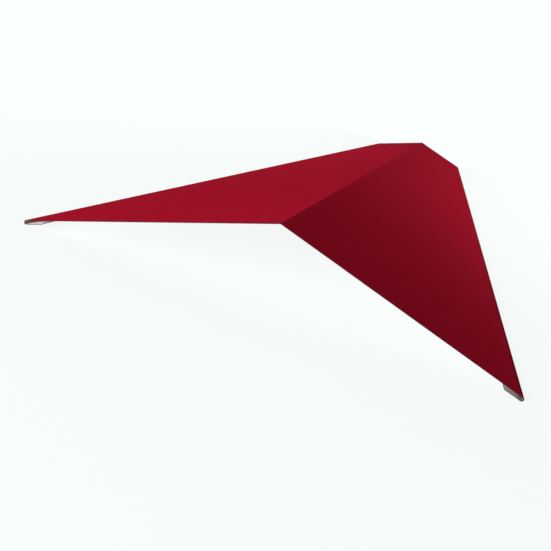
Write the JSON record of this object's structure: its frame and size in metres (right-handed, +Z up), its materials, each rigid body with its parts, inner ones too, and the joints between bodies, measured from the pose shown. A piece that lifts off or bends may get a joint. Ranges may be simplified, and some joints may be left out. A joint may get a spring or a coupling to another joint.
{
  "type": "roof ridge cap",
  "caption": "Long shallow V-section sheet metal cap for a roof ridge: flat painted wings meet at a sharp bend, and the long edges are folded under as open hems.",
  "frame": {"origin": "on the floor that the cap stands on, midway between its hems and midway along its length", "axes": "+Y along the ridge, +X across it, +Z up with the ridge at the top"},
  "size_m": [0.276, 2, 0.0456],
  "materials": {
    "painted_sheet": "ruby red polyester coil coating, matt, on the outside; light grey back coat on the inside; bare zinc-coated steel on the cut edges"
  },
  "bodies": {
    "root": {"ridge_cap": "painted_sheet"}
  },
  "joints": []
}
